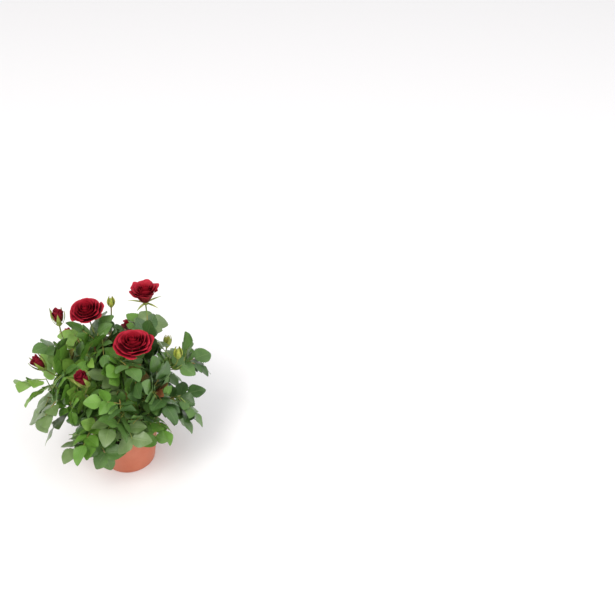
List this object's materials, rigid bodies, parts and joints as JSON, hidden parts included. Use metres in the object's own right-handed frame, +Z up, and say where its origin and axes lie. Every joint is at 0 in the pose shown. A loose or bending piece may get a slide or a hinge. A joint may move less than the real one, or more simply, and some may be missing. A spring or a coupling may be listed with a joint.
{
  "type": "potted rose bush",
  "caption": "Potted miniature rose bush with crimson roses, buds and green compound leaves in a terracotta-coloured plastic growing pot.",
  "frame": {"origin": "centre of the pot's flat underside", "axes": "+Z up along the pot's axis, -Y towards the camera of the picture"},
  "size_m": [0.3027, 0.271, 0.2873],
  "materials": {
    "pot_plastic": "satin",
    "peat": "matte",
    "cane_bark": "matte",
    "shoot_bark": "satin",
    "foliage": "satin",
    "green_buds": "satin",
    "blossom": "satin"
  },
  "bodies": {
    "root": {"bough_back_crest": "shoot_bark", "bough_back_left": "shoot_bark", "bough_back_left_low": "shoot_bark", "bough_back_right": "shoot_bark", "bough_back_right_low": "shoot_bark", "bough_front_left_low": "shoot_bark", "bough_front_middle": "shoot_bark", "bough_front_right_low": "shoot_bark", "bough_front_top": "shoot_bark", "bough_left_front": "shoot_bark", "bough_left_high": "shoot_bark", "bough_left_low": "shoot_bark", "bough_right_crest": "shoot_bark", "bough_right_front": "shoot_bark", "bough_right_low": "shoot_bark", "bough_right_middle": "shoot_bark", "bud_behind": "blossom", "bud_front": "blossom", "bud_left": "blossom", "bud_left_crest": "blossom", "cane_1": "cane_bark", "cane_2": "cane_bark", "cane_3": "cane_bark", "cane_4": "cane_bark", "green_bud_behind": "green_buds", "green_bud_crest": "green_buds", "green_bud_right": "green_buds", "leaves_back_crest": "foliage", "leaves_back_left": "foliage", "leaves_back_left_low": "foliage", "leaves_back_right": "foliage", "leaves_back_right_low": "foliage", "leaves_front_left_low": "foliage", "leaves_front_middle": "foliage", "leaves_front_right_low": "foliage", "leaves_front_top": "foliage", "leaves_left_front": "foliage", "leaves_left_high": "foliage", "leaves_left_low": "foliage", "leaves_right_crest": "foliage", "leaves_right_front": "foliage", "leaves_right_low": "foliage", "leaves_right_middle": "foliage", "peat": "peat", "pot": "pot_plastic", "rose_back_left": "blossom", "rose_behind": "blossom", "rose_front": "blossom", "rose_right": "blossom"}
  },
  "joints": []
}
